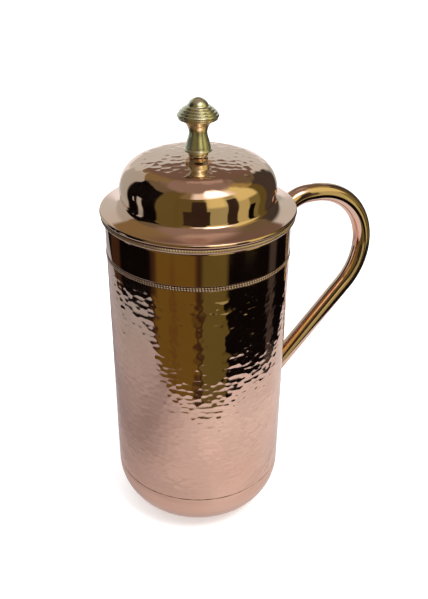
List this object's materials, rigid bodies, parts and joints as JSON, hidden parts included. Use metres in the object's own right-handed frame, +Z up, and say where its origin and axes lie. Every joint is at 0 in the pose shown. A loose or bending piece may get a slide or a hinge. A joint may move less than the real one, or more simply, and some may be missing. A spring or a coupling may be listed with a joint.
{
  "type": "lidded water jug",
  "caption": "Tall hammered copper water jug with a rounded base, plain mouth band, milled rim, bent tube handle and a domed lift-off lid with a turned brass knob.",
  "frame": {"origin": "centre of the flat underside of the base, on the surface the jug stands on", "axes": "+Z up along the jug's axis, +X out through the handle"},
  "size_m": [0.1925, 0.12, 0.2862],
  "materials": {
    "hammered_copper": "polished, hammered all over",
    "base_copper": "polished, spun",
    "polished_copper": "mirror polish",
    "milled_copper": "polished, with milled diagonal cuts",
    "handle_copper": "mirror polish",
    "lid_copper": "polished, with a hammered crown",
    "braze_filler": "dressed and polished filler",
    "knob_brass": "turned and polished",
    "screw_steel": "zinc plated"
  },
  "bodies": {
    "jug": {"hammered_wall": "hammered_copper", "base_cup": "base_copper", "mouth_band": "polished_copper", "milled_bead": "milled_copper", "mouth_ring": "milled_copper", "handle_tube": "handle_copper", "upper_braze": "braze_filler", "lower_braze": "braze_filler"},
    "lid": {"lid_shell": "lid_copper", "lid_collar": "polished_copper", "knob": "knob_brass", "knob_spacer": "knob_brass", "knob_washer": "knob_brass", "knob_screw": "screw_steel"}
  },
  "joints": [
    {"name": "lid_lift", "type": "slide", "parent": "jug", "child": "lid", "axis": [0, 0, 1], "range_m": [0, 0.12]}
  ]
}
